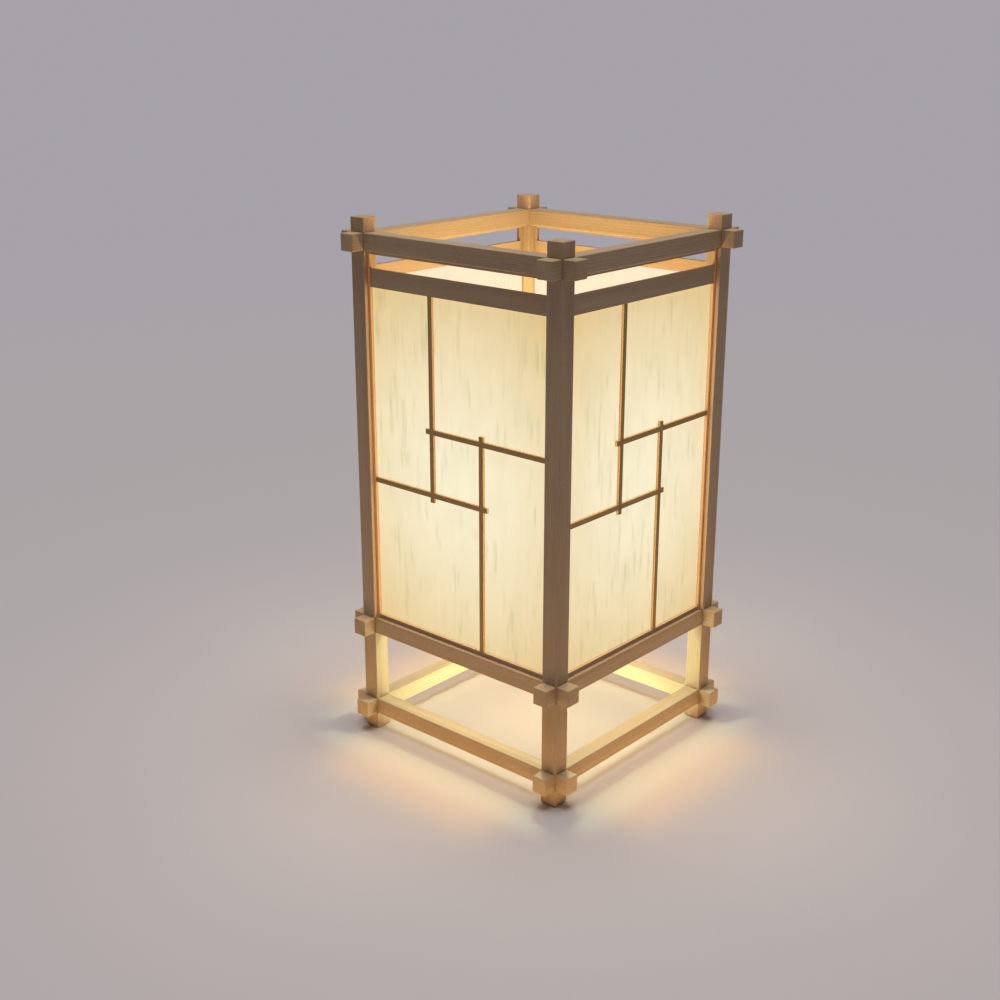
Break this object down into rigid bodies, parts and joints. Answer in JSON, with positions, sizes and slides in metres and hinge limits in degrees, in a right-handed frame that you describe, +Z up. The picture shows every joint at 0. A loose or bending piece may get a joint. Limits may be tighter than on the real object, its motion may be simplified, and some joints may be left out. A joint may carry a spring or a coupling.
{
  "type": "andon floor lamp",
  "caption": "Square wooden floor lantern: lapped rails and corner posts hold lattice panels backed with paper round an upright bulb.",
  "frame": {"origin": "middle of the square footprint, on the floor", "axes": "+Z up along the posts; the front panel faces -Y and the right-hand panel faces +X"},
  "size_m": [0.332, 0.332, 0.62],
  "materials": {
    "frame_wood": "planed light softwood, oiled",
    "panel_wood": "planed light softwood, oiled",
    "kumiko_wood": "thin planed softwood strips",
    "washi": "long-fibred translucent paper, unglazed",
    "screw_steel": "zinc plated",
    "zinc_steel": "zinc plated",
    "bush_plastic": "moulded black",
    "holder_plastic": "moulded ivory",
    "contact_brass": "drawn brass",
    "cap_nickel": "pressed nickel-plated brass",
    "cap_insulator": "black glass",
    "opal_glass": "opal, lit from within"
  },
  "bodies": {
    "lantern": {"back_panel_head_rails": "panel_wood", "back_panel_kumiko_crossbars": "kumiko_wood", "back_panel_kumiko_uprights": "kumiko_wood", "back_panel_left_stile": "panel_wood", "back_panel_right_stile": "panel_wood", "back_panel_sill_rail": "panel_wood", "back_panel_washi": "washi", "base_rail_back": "frame_wood", "base_rail_front": "frame_wood", "base_rail_left": "frame_wood", "base_rail_right": "frame_wood", "cord_bush": "bush_plastic", "cross_bar": "frame_wood", "cross_bar_screws": "screw_steel", "feet": "frame_wood", "front_panel_head_rails": "panel_wood", "front_panel_kumiko_crossbars": "kumiko_wood", "front_panel_kumiko_uprights": "kumiko_wood", "front_panel_left_stile": "panel_wood", "front_panel_right_stile": "panel_wood", "front_panel_sill_rail": "panel_wood", "front_panel_washi": "washi", "lamp_pipe": "zinc_steel", "lampholder_body": "holder_plastic", "lampholder_contacts": "contact_brass", "left_panel_head_rails": "panel_wood", "left_panel_kumiko_crossbars": "kumiko_wood", "left_panel_kumiko_uprights": "kumiko_wood", "left_panel_left_stile": "panel_wood", "left_panel_right_stile": "panel_wood", "left_panel_sill_rail": "panel_wood", "left_panel_washi": "washi", "lower_post_back_left": "frame_wood", "lower_post_back_right": "frame_wood", "lower_post_front_left": "frame_wood", "lower_post_front_right": "frame_wood", "lower_rail_back": "frame_wood", "lower_rail_front": "frame_wood", "lower_rail_left": "frame_wood", "lower_rail_right": "frame_wood", "pipe_nuts": "zinc_steel", "post_caps": "frame_wood", "right_panel_head_rails": "panel_wood", "right_panel_kumiko_crossbars": "kumiko_wood", "right_panel_kumiko_uprights": "kumiko_wood", "right_panel_left_stile": "panel_wood", "right_panel_right_stile": "panel_wood", "right_panel_sill_rail": "panel_wood", "right_panel_washi": "washi", "top_rail_back": "frame_wood", "top_rail_front": "frame_wood", "top_rail_left": "frame_wood", "top_rail_right": "frame_wood", "upper_post_back_left": "frame_wood", "upper_post_back_right": "frame_wood", "upper_post_front_left": "frame_wood", "upper_post_front_right": "frame_wood"},
    "bulb_contact_body": {"bulb_contact": "cap_insulator"},
    "bulb_body": {"bulb_cap": "cap_nickel", "bulb_globe": "opal_glass"}
  },
  "joints": [
    {"name": "bulb_lift", "type": "slide", "parent": "lantern", "child": "bulb_contact_body", "axis": [0, 0, 1], "range_m": [0, 0.0218]},
    {"name": "bulb_turn", "type": "hinge", "parent": "bulb_contact_body", "child": "bulb_body", "pos_m": [0, 0, 0.357], "axis": [0, 0, 1], "range_deg": [0, 2160]}
  ],
  "couplings": [
    {"joint": "bulb_lift", "follows": "bulb_turn", "m_per_rad": 0.00057757}
  ]
}
